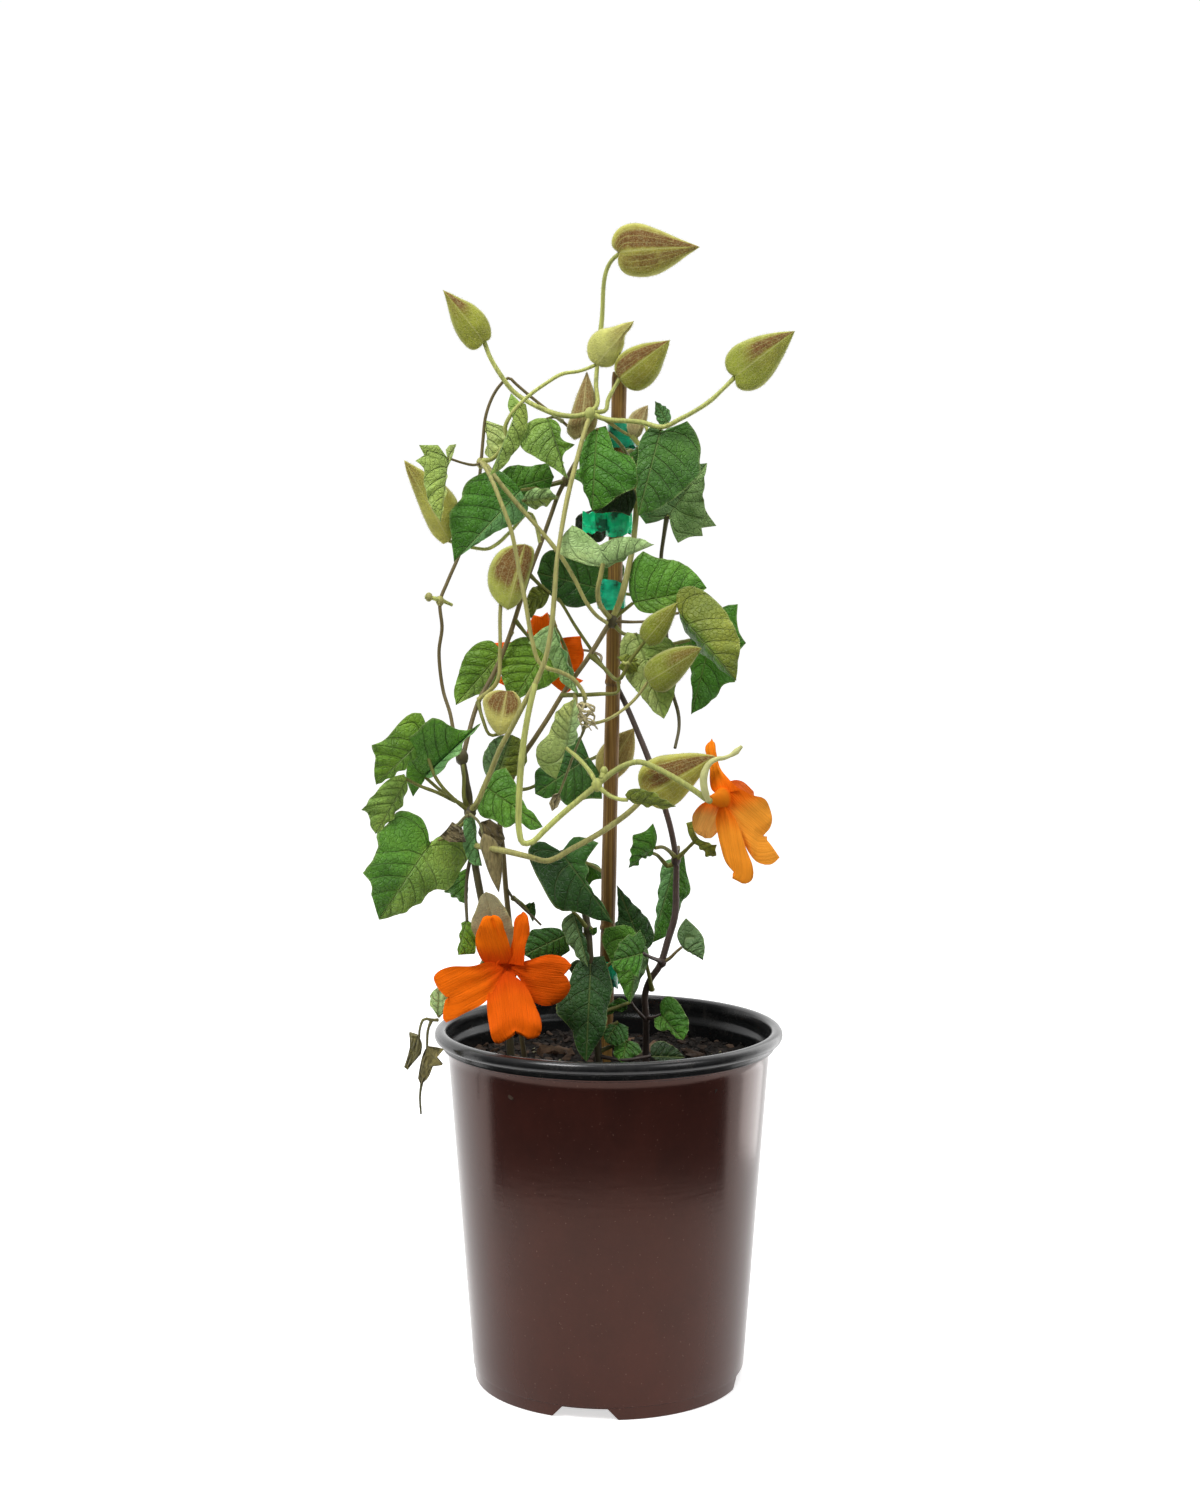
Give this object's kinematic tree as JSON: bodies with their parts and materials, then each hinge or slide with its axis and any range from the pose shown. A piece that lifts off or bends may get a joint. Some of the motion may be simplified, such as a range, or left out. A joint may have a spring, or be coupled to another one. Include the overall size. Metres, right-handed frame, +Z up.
{
  "type": "potted climbing vine",
  "caption": "Flowering clock vine trained up a tied cane in a round nursery pot: toothed leaves, heart-shaped buds and five-lobed orange flowers.",
  "frame": {"origin": "the middle of the flat face that the pot stands on, on the pot's axis", "axes": "+Z up along the pot's axis and the cane, -Y towards the side that the picture shows, +X to its right"},
  "size_m": [0.1982, 0.165, 0.5443],
  "materials": {
    "pot_plastic": "thin brown nursery pot plastic, glossy, black inside and on the lip",
    "potting_mix": "dark moist bark and peat mix",
    "bamboo": "dry brown cane, satin",
    "tape": "thin green garden tape",
    "leaf": "soft hairy leaf, satin above, paler below",
    "stem": "old stem, dull olive brown",
    "young_stem": "pale hairy young stem",
    "bud": "yellow green velvety bracts, browned in places",
    "bract": "pale green bracts",
    "petal": "matt orange petal",
    "petal_amber": "lighter orange petal",
    "withered": "dry olive brown"
  },
  "bodies": {
    "root": {"pot": "pot_plastic", "potting_mix": "potting_mix", "bamboo_stake": "bamboo", "tape_tie_top": "tape", "tape_tie_upper": "tape", "tape_tie_middle": "tape", "tape_tie_low": "tape", "vine_left_lower": "leaf", "vine_left_outer": "leaf", "vine_middle": "leaf", "vine_stake": "leaf", "vine_right": "leaf", "low_tuft": "leaf", "vine_back": "leaf", "young_shoot": "young_stem", "bud_top": "bud", "bud_upper_left": "bud", "bud_left_of_stake": "bud", "bud_over_stake": "bud", "bud_beside_stake": "bud", "bud_right_of_stake": "bud", "bud_right": "bud", "bud_outer_left": "bud", "bud_hairy": "bud", "bud_right_upper": "bud", "bud_right_lower": "bud", "bud_brown": "bud", "bud_long": "bud", "bud_behind_stake": "bud", "flower_front": "petal", "flower_right": "petal_amber", "flower_middle": "petal", "bracts_front": "bract", "bracts_right": "bract", "bracts_middle": "bract", "withered_pods": "withered", "withered_flower": "withered", "withered_over_lip": "withered"}
  },
  "joints": []
}
